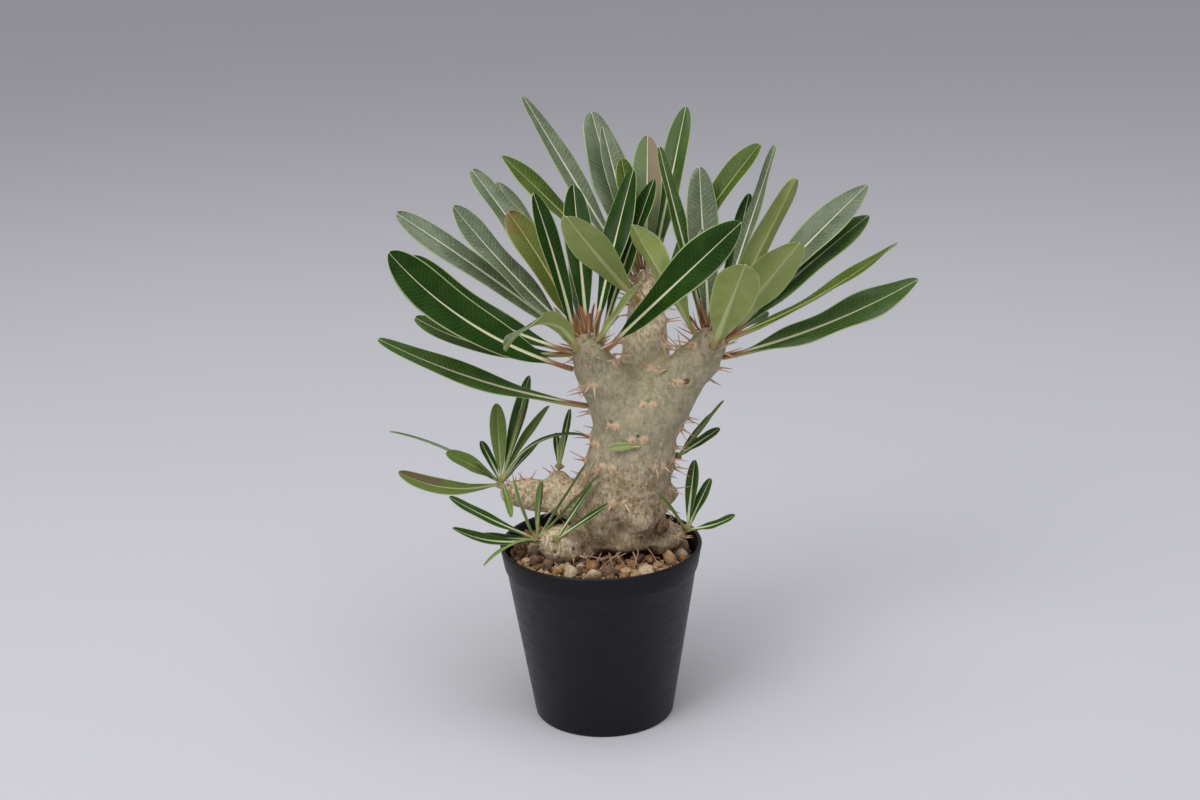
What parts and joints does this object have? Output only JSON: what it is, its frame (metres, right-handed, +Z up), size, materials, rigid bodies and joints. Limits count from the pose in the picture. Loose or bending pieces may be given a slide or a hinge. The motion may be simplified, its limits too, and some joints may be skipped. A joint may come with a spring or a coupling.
{
  "type": "potted pachypodium",
  "caption": "Potted pachypodium: a swollen grey stem forking into leafy crowns, with small offsets at its foot, in coarse grit in a round black nursery pot.",
  "frame": {"origin": "centre of the pot's underside, on the surface that it stands on", "axes": "+Z up along the pot's axis, -Y towards the front, +X to the right seen from the front"},
  "size_m": [0.2733, 0.1515, 0.3192],
  "materials": {
    "pot_plastic": "black moulded polypropylene with a soft satin sheen",
    "grit_stones": "coarse tan, orange-brown and cream pebbles, dry and matt",
    "stem_bark": "grey-green skin above, wrinkled tan bark below",
    "leaf_green": "leathery green leaf with a cream midrib and a soft sheen",
    "rosette_green": "narrow dark green leaf with a pale central stripe"
  },
  "bodies": {
    "root": {"pot": "pot_plastic", "grit": "grit_stones", "stem": "stem_bark", "leaf_left_01": "leaf_green", "leaf_left_02": "leaf_green", "leaf_left_03": "leaf_green", "leaf_left_04": "leaf_green", "leaf_left_05": "leaf_green", "leaf_left_06": "leaf_green", "leaf_left_07": "leaf_green", "leaf_left_08": "leaf_green", "leaf_left_09": "leaf_green", "leaf_left_10": "leaf_green", "leaf_left_11": "leaf_green", "leaf_left_12": "leaf_green", "leaf_left_13": "leaf_green", "leaf_left_14": "leaf_green", "leaf_left_15": "leaf_green", "leaf_left_16": "leaf_green", "leaf_left_17": "leaf_green", "leaf_top_01": "leaf_green", "leaf_top_02": "leaf_green", "leaf_top_03": "leaf_green", "leaf_top_04": "leaf_green", "leaf_top_05": "leaf_green", "leaf_top_06": "leaf_green", "leaf_top_07": "leaf_green", "leaf_top_08": "leaf_green", "leaf_top_09": "leaf_green", "leaf_right_01": "leaf_green", "leaf_right_02": "leaf_green", "leaf_right_03": "leaf_green", "leaf_right_04": "leaf_green", "leaf_right_05": "leaf_green", "leaf_right_06": "leaf_green", "leaf_right_07": "leaf_green", "leaf_right_08": "leaf_green", "leaf_right_09": "leaf_green", "leaf_right_10": "leaf_green", "leaf_right_11": "leaf_green", "leaf_right_12": "leaf_green", "leaf_right_13": "leaf_green", "leaf_right_14": "leaf_green", "leaf_shoulder_01": "leaf_green", "rosette_left": "rosette_green", "rosette_stub": "rosette_green", "rosette_front": "rosette_green", "rosette_front_side": "rosette_green", "rosette_right": "rosette_green", "rosette_back": "rosette_green"}
  },
  "joints": []
}
